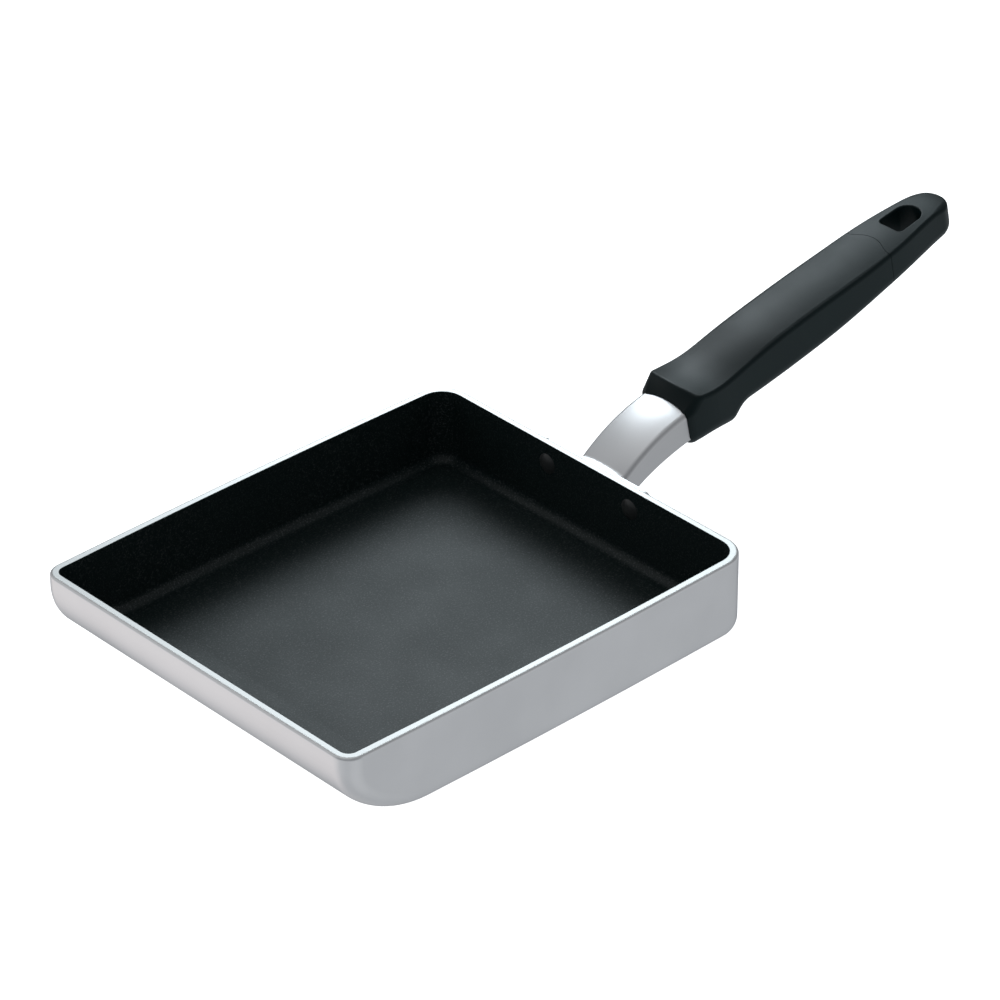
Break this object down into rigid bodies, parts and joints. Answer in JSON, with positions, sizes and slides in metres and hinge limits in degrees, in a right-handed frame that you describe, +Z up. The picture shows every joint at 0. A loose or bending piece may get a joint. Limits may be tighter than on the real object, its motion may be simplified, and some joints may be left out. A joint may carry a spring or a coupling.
{
  "type": "rectangular omelette pan",
  "caption": "Rectangular rolled-omelette pan with a curved far wall, non-stick inside, riveted swan-neck bracket and moulded handle with a hanging hole.",
  "frame": {"origin": "centre of the base's underside, between the outer faces of the four walls", "axes": "+X from the pan towards the handle, +Y to the left seen along the handle from the pan, +Z up"},
  "size_m": [0.364, 0.1596, 0.0746],
  "materials": {
    "pan_metal": "satin anodised aluminium with a bright ground rim",
    "nonstick_coating": "black fluoropolymer coating, satin with a fine speckle",
    "bracket_steel": "polished stainless steel sheet",
    "rivet_metal": "aluminium rivet, its head coated with the inside of the pan",
    "handle_plastic": "black thermoset moulding, satin",
    "screw_steel": "zinc-plated steel"
  },
  "bodies": {
    "root": {"pan_body": "pan_metal", "nonstick_lining": "nonstick_coating", "handle_bracket": "bracket_steel", "rivet_left": "rivet_metal", "rivet_right": "rivet_metal", "handle_grip": "handle_plastic", "tail_cap": "handle_plastic", "handle_screw": "screw_steel", "screw_washer": "screw_steel", "bracket_nut": "screw_steel"}
  },
  "joints": []
}
